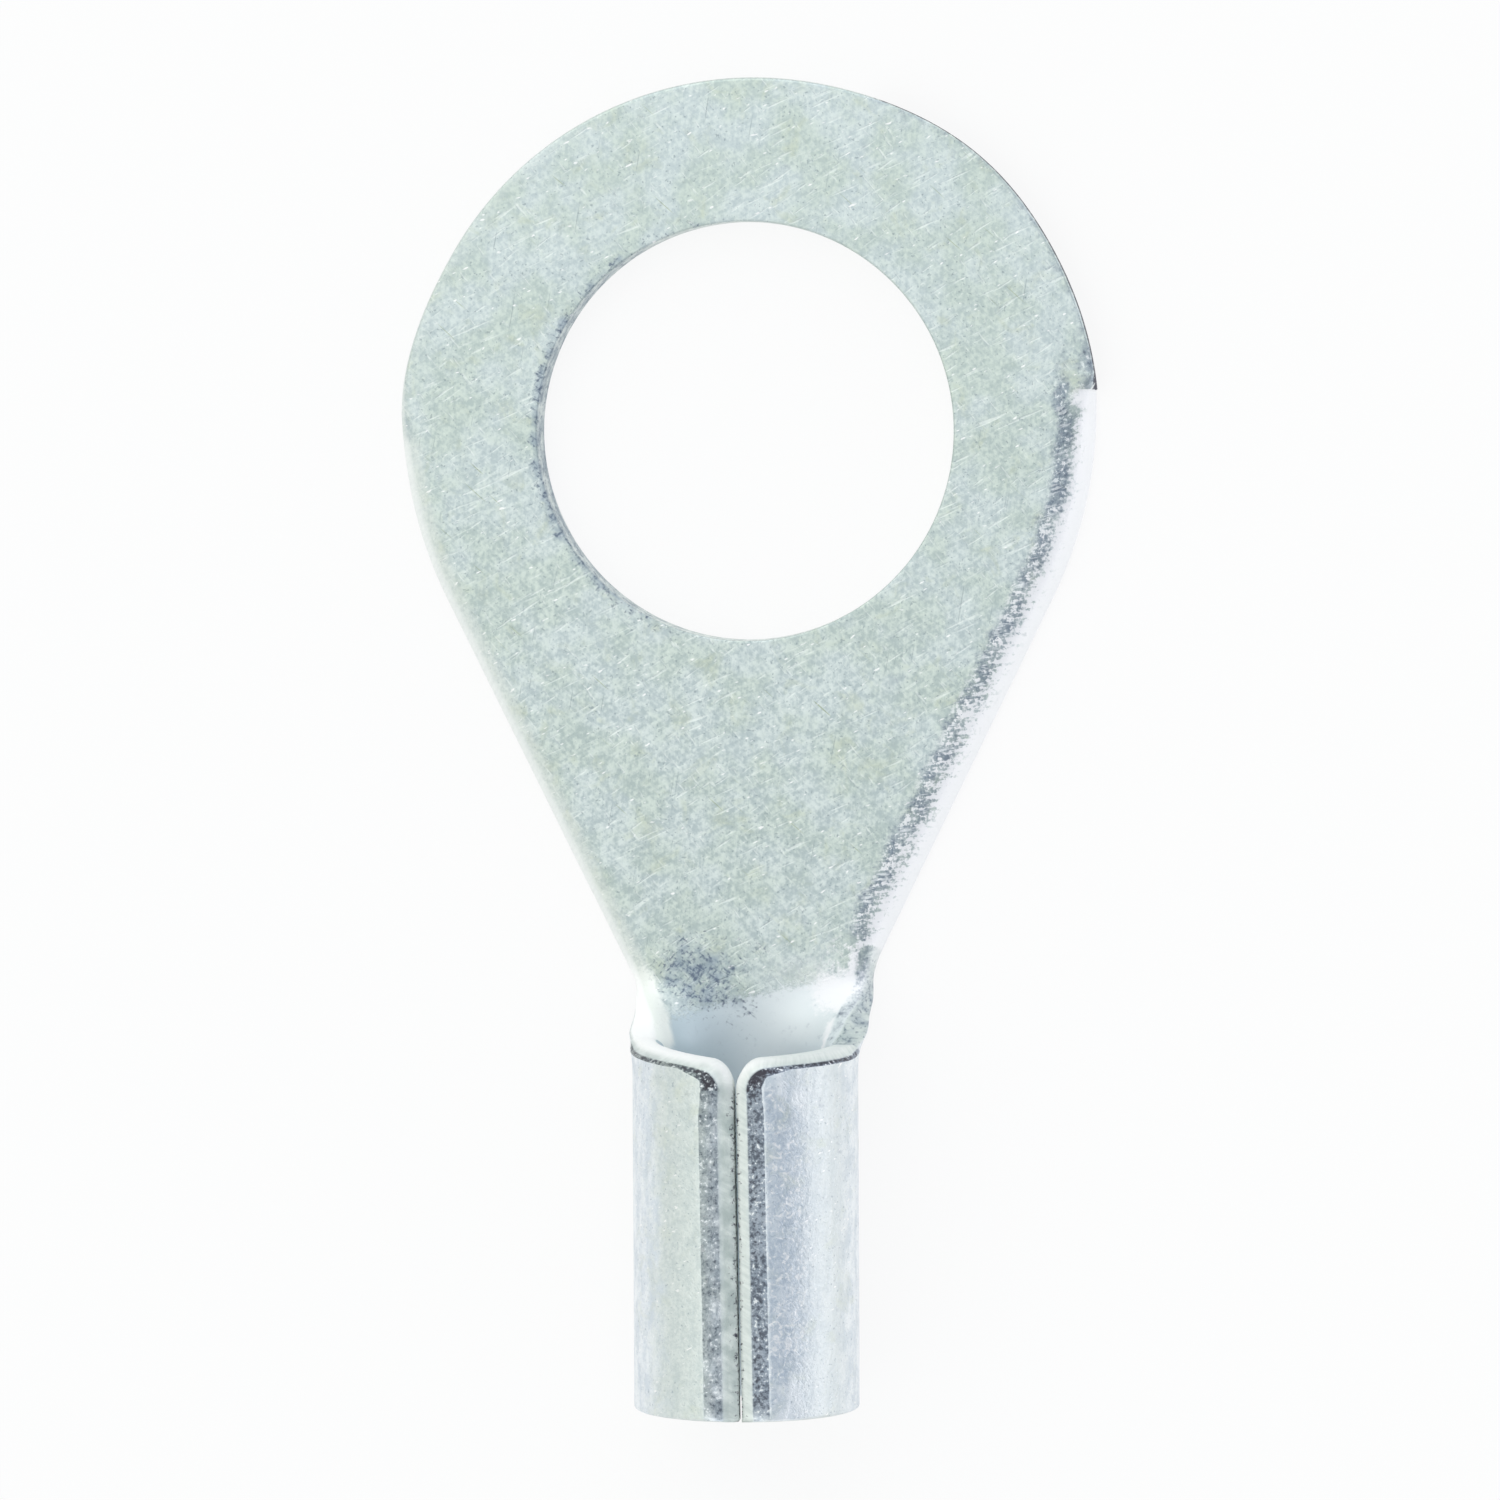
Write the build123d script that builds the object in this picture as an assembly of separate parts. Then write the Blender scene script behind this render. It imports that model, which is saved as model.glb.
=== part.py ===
"""A ring terminal: a flat ring tongue for a stud, rolled at its far end into a barrel for a wire.

It is one blank of sheet metal. The ring end points along +Y, the barrel along -Y and the seam up.
The origin is on the axis of the stud hole, on the underside, and all sizes are millimetres.
"""

import os
from math import acos, atan2, cos, hypot, pi, sin, sqrt, tan

from build123d import *

# The sheet, and how its sheared edges lean and round over on the side the punch entered
sheet_thickness = 0.55
edge_lean = 0.16
edge_lean_depth = 0.40
edge_round = 0.28

# The tongue: a round end, two cheeks that carry it into a taper, and a neck
hole_diameter = 6.90
hole_round = 0.05
ring_radius = 5.71
ring_rise = 0.11
ring_shift = 0.08
cheek_half_width = 5.75
cheek_radius = 7.10
cheek_height = 0.35
trim_height = 0.47
trim_tilt = 2.0
neck_width = 3.90
neck_blend = 1.10

# The trough, where the sheet turns up from the neck into the barrel
mouth_distance = 10.02
neck_length = 0.96
curl_length = 1.20
wing_root_radius = 0.60

# The barrel
barrel_length = 5.98
barrel_diameter = 3.72
seam_gap = 0.06
wing_corner_radius = 0.62
tail_round = 0.08

barrel_radius = barrel_diameter / 2
bore_radius = barrel_radius - sheet_thickness
fibre_radius = barrel_radius - sheet_thickness / 2
tail_distance = mouth_distance + barrel_length
curl_start = mouth_distance - curl_length

# A sheared edge in section: it leans, then an arc carries it into the face of the sheet
lean_angle = atan2(edge_lean_depth, edge_lean)
arc_reach = edge_round * tan(lean_angle / 2)
edge_reach = edge_lean + arc_reach

# Half of the blank's outline, on the +X side: the straight taper touches the cheek's circle
cheek_x = cheek_half_width - cheek_radius
neck_x = neck_width / 2
neck_y = neck_length - mouth_distance
reach_to_neck = hypot(neck_x - cheek_x, cheek_height - neck_y)
bearing_to_neck = atan2(cheek_height - neck_y, neck_x - cheek_x)
taper_angle = bearing_to_neck - acos(cheek_radius / reach_to_neck)
taper_start_x = cheek_x + cheek_radius * cos(taper_angle)
taper_start_y = cheek_height - cheek_radius * sin(taper_angle)
blend_reach = neck_blend * tan(taper_angle / 2)
blend_start_x = neck_x + blend_reach * sin(taper_angle)
blend_start_y = neck_y + blend_reach * cos(taper_angle)
blend_end_y = neck_y - blend_reach

# The fillet at the wing's root turns this far, and there the wing's front edge cuts it off
root_turn = 70 * pi / 180
root_start_y = wing_root_radius * sin(root_turn) - mouth_distance

trough_steps = 9


def trim_side(align):
    """Everything below the trim line for Align.MAX, or above it for Align.MIN.

    The line runs a little askew, lower on the left.
    """
    size = 4 * ring_radius + 2 * mouth_distance
    half_plane = Rectangle(size, size, align=(Align.CENTER, align))
    return Pos(0, trim_height) * Rot(0, 0, trim_tilt) * half_plane


def lower_outline():
    """The blank below the trim line, down to the mouth, where its edges lean and round over."""
    half_turn = taper_angle / 2
    top_end = (cheek_half_width, ring_radius)
    cheek_start = (cheek_half_width, cheek_height)
    cheek_middle = (
        cheek_x + cheek_radius * cos(half_turn),
        cheek_height - cheek_radius * sin(half_turn),
    )
    taper_start = (taper_start_x, taper_start_y)
    blend_start = (blend_start_x, blend_start_y)
    blend_middle = (
        neck_x + neck_blend * (1 - cos(half_turn)),
        blend_end_y + neck_blend * sin(half_turn),
    )
    blend_end = (neck_x, blend_end_y)
    mouth_end = (neck_x, -mouth_distance)
    side = [
        Line((0, ring_radius), top_end),
        Line(top_end, cheek_start),
        ThreePointArc(cheek_start, cheek_middle, taper_start),
        Line(taper_start, blend_start),
        ThreePointArc(blend_start, blend_middle, blend_end),
        Line(blend_end, mouth_end),
        Line(mouth_end, (0, -mouth_distance)),
        Line((0, -mouth_distance), (0, ring_radius)),
    ]
    half = make_face(side)
    return (half + mirror(half, Plane.YZ)) & trim_side(Align.MAX)


def blank_half_width(y):
    """Half of the blank's width where it turns up, from the taper to the wing's root."""
    if y < root_start_y:
        drop = root_start_y - y
        return neck_x + wing_root_radius - sqrt(wing_root_radius**2 - drop**2)
    if y < blend_end_y:
        return neck_x
    if y < blend_start_y:
        rise = y - blend_end_y
        return neck_x + neck_blend - sqrt(neck_blend**2 - rise**2)
    return neck_x + (y - neck_y) * tan(taper_angle)


def side_edges(face):
    """The edges that run down the two sides of a face, without those that cross it."""
    return [edge for edge in face.edges() if (edge @ 0).X * (edge @ 1).X > 0]


def top_face(solid):
    """The sheet's upper face on a flat plate."""
    return solid.faces().sort_by(Axis.Z)[-1]


def make_ring_end():
    """The round end above the trim line, sheared crisp where it was parted from the strip."""
    disc = Pos(ring_shift, ring_rise) * Circle(ring_radius)
    return extrude(disc & trim_side(Align.MIN), sheet_thickness)


def make_tongue():
    """The cheeks and the taper, flat, down to where the sheet starts to turn up."""
    flat_part = Pos(0, -curl_start) * Rectangle(
        4 * ring_radius, 4 * mouth_distance, align=(Align.CENTER, Align.MIN)
    )
    plate = extrude(lower_outline() & flat_part, sheet_thickness)
    face = top_face(plate)
    leant = chamfer(side_edges(face), edge_lean, edge_lean_depth, reference=face)
    return fillet(side_edges(top_face(leant)), edge_round)


def trough_section(y):
    """The sheet's section at y: flat at first, then bent more and more about the Y axis."""
    share = (-curl_start - y) / curl_length
    curl = share * share * (3 - 2 * share) / fibre_radius
    half_width = blank_half_width(y)
    outer_radius = 1 / curl + sheet_thickness / 2

    def place(side, inset, height):
        turn = side * (half_width - inset) * curl
        radius = outer_radius - height
        return (radius * sin(turn), y, outer_radius - radius * cos(turn))

    def side_points(side):
        foot = place(side, 0, 0)
        lean_start = place(side, 0, sheet_thickness - edge_lean_depth)
        lean_end = place(
            side,
            edge_lean - arc_reach * cos(lean_angle),
            sheet_thickness - arc_reach * sin(lean_angle),
        )
        arc_middle = place(
            side,
            edge_reach - edge_round * sin(lean_angle / 2),
            sheet_thickness - edge_round * (1 - cos(lean_angle / 2)),
        )
        arc_end = place(side, edge_reach, sheet_thickness)
        return foot, lean_start, lean_end, arc_middle, arc_end

    foot_r, start_r, end_r, middle_r, top_r = side_points(1)
    foot_l, start_l, end_l, middle_l, top_l = side_points(-1)
    return make_face(
        [
            ThreePointArc(foot_l, (0, y, 0), foot_r),
            Line(foot_r, start_r),
            Line(start_r, end_r),
            ThreePointArc(end_r, middle_r, top_r),
            ThreePointArc(top_r, (0, y, sheet_thickness), top_l),
            ThreePointArc(top_l, middle_l, end_l),
            Line(end_l, start_l),
            Line(start_l, foot_l),
        ]
    )


def make_trough(tongue):
    """The neck as it turns up, from the tongue's end to a stub that roots the barrel's wall."""
    tongue_end = tongue.faces().sort_by(Axis.Y)[0]
    step = curl_length / trough_steps
    sections = [trough_section(-curl_start - step * i) for i in range(1, trough_steps + 1)]
    trough = loft([tongue_end] + sections)
    stub = extrude(sections[-1], amount=2 * edge_reach, dir=(0, -1, 0))
    return trough + stub


def corner_cutter():
    """What the two rounded front corners of the wings leave open, seen from above."""
    corner_x = wing_corner_radius + seam_gap / 2
    notch = Pos(0, -mouth_distance) * Rectangle(
        2 * corner_x, wing_corner_radius, align=(Align.CENTER, Align.MAX)
    )
    corner_y = -mouth_distance - wing_corner_radius
    corners = Pos(corner_x, corner_y) * Circle(wing_corner_radius)
    corners += Pos(-corner_x, corner_y) * Circle(wing_corner_radius)
    return extrude(Pos(0, 0, barrel_radius) * (notch - corners), barrel_diameter)


def outer_wall(solid):
    """The barrel's outer face, which is the largest one."""
    return solid.faces().sort_by(SortBy.AREA)[-1]


def wing_edges(face):
    """The wings' edges on a face: the front, the rounded corners and the seam."""
    return [edge for edge in face.edges() if (edge @ 0.5).Y > -tail_distance + tail_round]


def tail_edges(face):
    """The edge of the barrel's open tail on a face."""
    return [edge for edge in face.edges() if (edge @ 0.5).Y < -tail_distance + tail_round]


def make_barrel():
    """The two wings, rolled until their sheared edges butt along the seam on top."""
    centre = Pos(0, barrel_radius)
    section = centre * (Circle(barrel_radius) - Circle(bore_radius))
    section -= centre * Rectangle(
        seam_gap, barrel_diameter, align=(Align.CENTER, Align.MIN)
    )
    tube = extrude(Plane.XZ.offset(mouth_distance) * section, barrel_length)
    tube -= corner_cutter()
    wall = outer_wall(tube)
    leant = chamfer(wing_edges(wall), edge_lean, edge_lean_depth, reference=wall)
    rounded = fillet(wing_edges(outer_wall(leant)), edge_round)
    return fillet(tail_edges(outer_wall(rounded)), tail_round)


def make_terminal():
    """The whole terminal, which is one solid."""
    tongue = make_tongue()
    terminal = make_ring_end() + tongue + make_trough(tongue) + make_barrel()
    terminal -= Cylinder(hole_diameter / 2, 4 * sheet_thickness)
    hole_wall = terminal.faces().filter_by(GeomType.CYLINDER).sort_by_distance((0, 0, 0))[0]
    return fillet(hole_wall.edges().sort_by(Axis.Z)[-1], hole_round)


terminal = make_terminal()
os.makedirs("parts", exist_ok=True)
export_step(terminal, "parts/terminal.step")
print("terminal", terminal.is_valid, round(terminal.volume, 3), terminal.bounding_box())
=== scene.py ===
# %% [markdown]
# # A ring terminal, rolled from one flat blank
#
# The real part is a strip of copper sheet with a matte tin plating. A press stamps the
# outline and the hole, then rolls the two wings at the far end into a barrel for the wire.
# This file makes it in the same order: it draws the flat blank with its sheared edges,
# rolls it by one rule, and then gives it its plating.
#
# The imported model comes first. It is the fixed frame, and nothing here may move it.

from math import acos, asin, atan2, cos, degrees, hypot, pi, radians, sin, tan

import bmesh
import bpy
import numpy as np
from mathutils import Matrix, Vector, geometry


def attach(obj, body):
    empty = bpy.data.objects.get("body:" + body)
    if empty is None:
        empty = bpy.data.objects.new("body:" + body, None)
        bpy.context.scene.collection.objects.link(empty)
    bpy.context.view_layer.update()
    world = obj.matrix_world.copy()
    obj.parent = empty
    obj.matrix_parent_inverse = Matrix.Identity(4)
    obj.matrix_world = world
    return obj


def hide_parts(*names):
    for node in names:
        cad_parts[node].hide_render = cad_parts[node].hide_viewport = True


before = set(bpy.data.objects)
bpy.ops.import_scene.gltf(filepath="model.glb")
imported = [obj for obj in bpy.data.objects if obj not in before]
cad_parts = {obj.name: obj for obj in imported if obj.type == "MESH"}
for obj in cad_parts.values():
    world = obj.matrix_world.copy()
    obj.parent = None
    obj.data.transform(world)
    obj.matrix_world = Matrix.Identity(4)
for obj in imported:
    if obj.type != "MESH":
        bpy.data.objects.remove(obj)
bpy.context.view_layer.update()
scene = bpy.context.scene
MM = 0.001

# %% [markdown]
# ## The camera
#
# The photograph looks almost straight down, a few degrees from the right and from the side
# of the ring. The values below give the view in plain terms: the point that is in the middle
# of the picture, the distance, the two leans and the turn, and how many pixels a millimetre
# takes at that point. A long lens keeps the barrel's sides nearly parallel.

# %% Camera
picture_width = 1500
pixels_per_mm = 60.277
camera_distance = 125.0
view_centre = Vector((-0.0146, -5.2875, 0.0))
lean_to_ring = radians(2.9)
lean_to_right = radians(-3.6)
camera_turn = radians(0.1)

turned = (
    Matrix.Rotation(camera_turn, 3, "Z")
    @ Matrix.Rotation(lean_to_right, 3, "Y")
    @ Matrix.Rotation(lean_to_ring, 3, "X")
)
camera_axes = turned.transposed()
camera_data = bpy.data.cameras.new("camera")
camera_data.type = "PERSP"
camera_data.sensor_width = 36.0
camera_data.lens = camera_data.sensor_width * camera_distance * pixels_per_mm / picture_width
camera_data.clip_start = 0.005
camera_data.clip_end = 5.0
camera = bpy.data.objects.new("camera", camera_data)
scene.collection.objects.link(camera)
eye = (view_centre + camera_distance * camera_axes.col[2]) * MM
camera.matrix_world = Matrix.Translation(eye) @ camera_axes.to_4x4()
scene.camera = camera
print("lens in mm:", round(camera_data.lens, 1))

# %% [markdown]
# ## The blank's sizes
#
# These repeat the part's own driving sizes, in millimetres, so that the piece made here
# lies where the CAD solid is. A few small differences between the left and the right side
# are read from the photograph: the neck is cut a little to the right, and the wings' front
# edges do not run quite square.

# %% Sizes
thickness = 0.55
hole_radius = 3.45
ring_radius = 5.708
ring_centre = (0.08, 0.11)
cheek_half_width = 5.744
cheek_radius = 7.10
cheek_height = 0.35
trim_height = 0.47
trim_tilt = radians(2.0)
tail_y = -15.998
fibre_radius = 1.575
curl_start_y = -9.00
curl_end_y = -10.08
seam_gap = 0.045
seam_half_width = pi * fibre_radius - seam_gap / 2

right_side = {
    "neck": 2.00, "neck_y": -8.96, "neck_blend": 1.60,
    "front_y": -10.02, "front_slope": radians(2.6), "root_radius": 0.58,
    "seam_shift": 0.07,
}
left_side = {
    "neck": 1.87, "neck_y": -9.22, "neck_blend": 0.50,
    "front_y": -9.93, "front_slope": radians(5.4), "root_radius": 0.52,
    "seam_shift": -0.07,
}
corner_width = 0.44
corner_height = 0.48
print("wings unrolled in mm:", round(2 * seam_half_width, 3))

# %% [markdown]
# ## The outline
#
# The outline is one closed line, made of the arcs and straights that a toolmaker would
# draw. Each stretch keeps the name of its zone, because the press left a different edge on
# each: crisp where the ring was parted from its strip, rounded over elsewhere.

# %% Arcs and straights
def straight(start, end, step=0.07):
    """Points from start towards end, without the end itself."""
    start, end = np.array(start, float), np.array(end, float)
    count = max(1, round(np.linalg.norm(end - start) / step))
    share = np.arange(count)[:, None] / count
    return start + share * (end - start)


def arc(centre, radius, start, end, step=0.05):
    """Points on an arc from one angle to another, without its last point."""
    count = max(2, round(abs(end - start) * radius / step))
    angles = start + np.arange(count) / count * (end - start)
    return np.array(centre) + radius * np.stack([np.cos(angles), np.sin(angles)], 1)


def corner(start, tip, end, count=14):
    """Points on the round corner that leaves start and reaches end, bending at tip."""
    start, tip, end = (np.array(p, float) for p in (start, tip, end))
    t = (np.arange(count) / count)[:, None]
    weight = cos(pi / 4)
    below = (1 - t) ** 2 + 2 * weight * t * (1 - t) + t**2
    return ((1 - t) ** 2 * start + 2 * weight * t * (1 - t) * tip + t**2 * end) / below


def smooth(values, low, high):
    """0 below low, 1 above high, and a smooth rise between, or a fall if high is less."""
    share = np.clip((values - low) / (high - low), 0, 1)
    return share * share * (3 - 2 * share)


# %% One side of the blank, from the trim line down to the tail
def blank_side(side, trim_y):
    """The points of one side, drawn at positive X, and the name of each point's zone."""
    cheek_x = cheek_half_width - cheek_radius
    reach = hypot(side["neck"] - cheek_x, cheek_height - side["neck_y"])
    bearing = atan2(cheek_height - side["neck_y"], side["neck"] - cheek_x)
    taper = bearing - acos(cheek_radius / reach)
    taper_start = (cheek_x + cheek_radius * cos(taper), cheek_height - cheek_radius * sin(taper))
    blend_reach = side["neck_blend"] * tan(taper / 2)
    blend_start = (
        side["neck"] + blend_reach * sin(taper),
        side["neck_y"] + blend_reach * cos(taper),
    )
    blend_end_y = side["neck_y"] - blend_reach
    radius, turn = side["root_radius"], pi / 2 - side["front_slope"]
    root_start_y = side["front_y"] + radius * sin(turn)
    root_end = (side["neck"] + radius * (1 - cos(turn)), side["front_y"])
    seam_top = seam_half_width + side["seam_shift"]

    def front_y_at(x):
        return side["front_y"] - (x - root_end[0]) * tan(side["front_slope"])

    corner_start = (seam_top - corner_width, front_y_at(seam_top - corner_width))
    corner_tip = (seam_top, front_y_at(seam_top))
    corner_end = (seam_top, corner_tip[1] - corner_height)
    blend_centre = (side["neck"] + side["neck_blend"], blend_end_y)
    root_centre = (side["neck"] + radius, root_start_y)
    first_turn = asin(min(0.0, trim_y - cheek_height) / cheek_radius)
    pieces = [
        ("cheek", straight((cheek_half_width, trim_y), (cheek_half_width, cheek_height))),
        ("cheek", arc((cheek_x, cheek_height), cheek_radius, first_turn, -taper)),
        ("taper", straight(taper_start, blend_start)),
        ("neck", arc(blend_centre, side["neck_blend"], pi - taper, pi)),
        ("neck", straight((side["neck"], blend_end_y), (side["neck"], root_start_y))),
        ("root", arc(root_centre, radius, pi, pi + turn, 0.035)),
        ("front", straight(root_end, corner_start, 0.05)),
        ("corner", corner(corner_start, corner_tip, corner_end)),
        ("seam", straight(corner_end, (seam_half_width, tail_y))),
    ]
    if trim_y < cheek_height:
        pieces = pieces[1:]
    names = [name for name, points in pieces for _ in points]
    print("taper in degrees:", round(degrees(taper), 2), "points:", len(names))
    return np.vstack([points for _, points in pieces]), names


# %% [markdown]
# The ring is not a true circle. Its upper right swells a little and its lower left too,
# where the press tool met the carrier strip.

# %% The ring's arc
def ring_radius_at(angle):
    """The ring's radius in a direction, with the two slight swellings."""
    upper_right = 0.085 * np.exp(-(((angle - radians(50)) / radians(17)) ** 2))
    lower_left = 0.120 * smooth(angle, radians(150), radians(178))
    return ring_radius + upper_right + lower_left


def trim_y_at(x):
    return trim_height + x * tan(trim_tilt)


right_trim_y, left_trim_y = trim_y_at(ring_radius), trim_y_at(-ring_radius)
ring_start = pi - atan2(left_trim_y - ring_centre[1], ring_radius)
ring_end = atan2(right_trim_y - ring_centre[1], ring_radius)
ring_angles = np.linspace(ring_start, ring_end, 380)
ring_points = np.array(ring_centre) + ring_radius_at(ring_angles)[:, None] * np.stack(
    [np.cos(ring_angles), np.sin(ring_angles)], 1
)
print("ring in degrees:", round(degrees(ring_start), 1), "to", round(degrees(ring_end), 1))

# %% The whole outline, clockwise seen from above
right_points, right_names = blank_side(right_side, right_trim_y - 0.03)
left_points, left_names = blank_side(left_side, left_trim_y - 0.03)
tail_points = straight((seam_half_width, tail_y), (-seam_half_width, tail_y))
left_points = np.vstack([left_points, (seam_half_width, tail_y)])[::-1] * (-1, 1)
outline = np.vstack([ring_points, right_points, tail_points, left_points])
zones = np.array(
    ["ring"] * len(ring_points)
    + right_names
    + ["tail"] * len(tail_points)
    + ["seam"]
    + left_names[::-1]
)
on_right = outline[:, 0] > 0
steps = np.linalg.norm(np.roll(outline, -1, 0) - outline, axis=1)
along = np.concatenate([[0], np.cumsum(steps)[:-1]])
print("outline:", len(outline), "points,", round(steps.sum(), 2), "mm round")

# %% [markdown]
# ## The sheared edge
#
# A punch drags the sheet's face over before it breaks through, so in section the edge has
# a shoulder and then a clean face that leans. On the tongue the shoulder is on the upper
# side, broad and soft, and a little narrower on the left. On the wings it is on the side
# that the rolling turns outwards, and it is pressed to a narrow bevel with a crisp line
# along it, which shows on both sides of the seam. Each zone below gives five numbers for the
# underside and five for the upper side: how wide and deep the shoulder is, how wide and deep
# the leaning face is, and how round the whole is, from 0 to 1.

# %% The edge's section by zone
crisp = (0.02, 0.01, 0.01, 0.03, 1.0)
soft_edge = (0.52, 0.18, 0.20, 0.24, 1.0)
edge_of_zone = {
    "ring": (crisp, (0.04, 0.02, 0.02, 0.06, 1.0)),
    "cheek": (crisp, soft_edge),
    "taper": (crisp, soft_edge),
    "neck": (crisp, (0.30, 0.12, 0.16, 0.20, 1.0)),
    "root": ((0.05, 0.03, 0.05, 0.08, 1.0), (0.10, 0.06, 0.08, 0.10, 1.0)),
    "front": ((0.045, 0.06, 0.14, 0.20, 0.15), crisp),
    "corner": ((0.20, 0.10, 0.16, 0.12, 0.1), crisp),
    "seam": ((0.235, 0.12, 0.165, 0.085, 0.0), crisp),
    "tail": ((0.03, 0.02, 0.03, 0.06, 1.0), crisp),
}
upper_widths = [5, 7]
left_share = 0.72
section_values = np.array([np.concatenate(edge_of_zone[z]) for z in zones])
left_tongue = np.isin(zones, ["cheek", "taper", "neck"]) & ~on_right
section_values[np.ix_(left_tongue, upper_widths)] *= left_share
print("edge sections:", len(section_values), "narrowed on the left:", int(left_tongue.sum()))

# %% The left side's own edges: the shoulder grows slowly out of the ring's crisp one
to_cheek = smooth(outline[:, 1], left_trim_y + 0.9, left_trim_y - 1.1)[:, None]
near_left_trim = (np.isin(zones, ["ring", "cheek"]) & ~on_right)[:, None]
ring_values = np.concatenate(edge_of_zone["ring"])
cheek_values = np.concatenate(edge_of_zone["cheek"])
cheek_values[upper_widths] *= left_share
section_values = np.where(
    near_left_trim, ring_values + to_cheek * (cheek_values - ring_values), section_values
)
left_wing_edge = {
    "seam": (0.26, 0.10, 0.235, 0.085, 0.0),
    "corner": (0.23, 0.10, 0.20, 0.11, 0.1),
}
for zone, values in left_wing_edge.items():
    section_values[(zones == zone) & ~on_right, :5] = values


# %% Soften the change from one zone to the next, except down the seam and round the tail
def softened(values, width):
    """Each value averaged with its neighbours round the closed outline."""
    return sum(np.roll(values, k, 0) for k in range(-width, width + 1)) / (2 * width + 1)


corners_end_y = -11.6
seam_run = (zones == "seam") & (outline[:, 1] < corners_end_y)
at_tail = zones == "tail"
kept = (seam_run | at_tail)[:, None]
section_values = np.where(kept, section_values, softened(section_values, 6))


# %% Points of the section
def shoulder(values):
    """Insets and depths from the flat face, over the shoulder, to the end of the lean."""
    wide, deep, lean, lean_depth, round_share = values.T[:, :, None]
    along_shoulder = np.array([0, 0.05, 0.5, 0.95])[None, :]
    along_lean = np.array([0.06, 0.35, 0.7, 1.0])[None, :]
    inset = np.hstack([lean + wide * (1 - along_shoulder), lean * (1 - along_lean)])
    fall = np.hstack([deep * along_shoulder, deep + lean_depth * along_lean])
    turn = np.radians([0, 12, 27, 42, 54, 66, 78, 90])[None, :]
    round_inset = (wide + lean) * (1 - np.sin(turn))
    round_fall = (deep + lean_depth) * (1 - np.cos(turn))
    inset = inset + round_share * (round_inset - inset)
    fall = fall + round_share * (round_fall - fall)
    return np.hstack([wide + lean + 0.04, inset]), np.hstack([0 * wide, fall])


def edge_section(values):
    """Insets and heights of the section's points, from the underside to the upper side."""
    under_inset, under_fall = shoulder(values[:, :5])
    upper_inset, upper_fall = shoulder(values[:, 5:])
    insets = np.hstack([under_inset, upper_inset[:, ::-1]])
    heights = np.hstack([under_fall, thickness - upper_fall[:, ::-1]])
    return insets, heights


insets, heights = edge_section(section_values)
section_count = insets.shape[1]
half_count = section_count // 2
print("points in a section:", section_count)

# %% Place the section round the outline
tangents = np.roll(outline, -1, 0) - np.roll(outline, 1, 0)
normals = np.stack([-tangents[:, 1], tangents[:, 0]], 1)
normals /= np.linalg.norm(normals, axis=1)[:, None]
normals = softened(normals, 1)
normals /= np.linalg.norm(normals, axis=1)[:, None]
normals[at_tail] = (0, -1)
normals[seam_run] = np.stack([np.sign(outline[seam_run, 0]), 0 * outline[seam_run, 0]], 1)
rims = outline[:, None, :] - insets[:, :, None] * normals[:, None, :]

# %% Square corners where the seam meets the tail
tail_insets = insets[at_tail][0]
limit_right = seam_half_width - insets[np.argmax(seam_run & on_right)]
limit_left = insets[np.argmax(seam_run & ~on_right)] - seam_half_width
rims[at_tail, :, 0] = np.clip(rims[at_tail, :, 0], limit_left, limit_right)
rims[seam_run, :, 1] = np.maximum(rims[seam_run, :, 1], tail_y + tail_insets)
corner_rims = {np.argmax(at_tail): limit_right, len(outline) - len(left_points): limit_left}
for index, limit in corner_rims.items():
    rims[index, :, 0] = limit
    rims[index, :, 1] = tail_y + tail_insets
print("rims in mm:", [round(v, 3) for v in (*rims.min((0, 1)), *rims.max((0, 1)))])

# %% [markdown]
# ## The stud hole
#
# The hole was punched a trace askew, so its wall leans: from above, a thin strip of it
# shows on the left and none on the right. Its rim is almost sharp. The three numbers say how
# much the radius grows at the far left of each rim, and at the far right of both.

# %% The hole's rims
hole_count = 400
top_left_growth, bottom_left_growth, right_growth = 0.020, -0.050, -0.050
rim_edge = (0.03, 0.012, 0.012, 0.03, 1.0)
hole_angles = np.arange(hole_count) / hole_count * 2 * pi
to_left = np.clip(-np.cos(hole_angles), 0, 1) ** 1.5
to_right = np.clip(np.cos(hole_angles), 0, 1) ** 1.5
top_radius = (hole_radius + top_left_growth * to_left + right_growth * to_right)[:, None]
bottom_radius = (hole_radius + bottom_left_growth * to_left + right_growth * to_right)[:, None]
hole_insets, hole_heights = edge_section(np.tile(rim_edge * 2, (hole_count, 1)))
lean = (top_radius - bottom_radius) * hole_heights / thickness
hole_radii = bottom_radius + lean + hole_insets
ways = np.stack([np.cos(hole_angles), np.sin(hole_angles)], 1)
hole_rims = hole_radii[:, :, None] * ways[:, None, :]
print("hole's narrowest radius in mm:", round(hole_radii.min(), 3))

# %% [markdown]
# ## The blank's two faces
#
# Between the outline and the hole, both faces are filled with a fine net of triangles, so
# that they can follow the roll later. The net's points stand in rows along the sheet, and
# a Delaunay fill joins them to the rims. The net keeps clear of the rims by about half its
# spacing, so that no triangle there is a sliver.

# %% Fill a face
def is_inside(points, loop):
    """Which points lie inside a closed loop, by counting the edges to their right."""
    x, y = points[:, 0][:, None], points[:, 1][:, None]
    ax, ay = loop[:, 0], loop[:, 1]
    bx, by = np.roll(ax, -1), np.roll(ay, -1)
    crosses = (ay > y) != (by > y)
    with np.errstate(divide="ignore", invalid="ignore"):
        crossing_x = ax + (y - ay) * (bx - ax) / (by - ay)
    return (np.sum(crosses & (x < crossing_x), 1) % 2).astype(bool)


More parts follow.
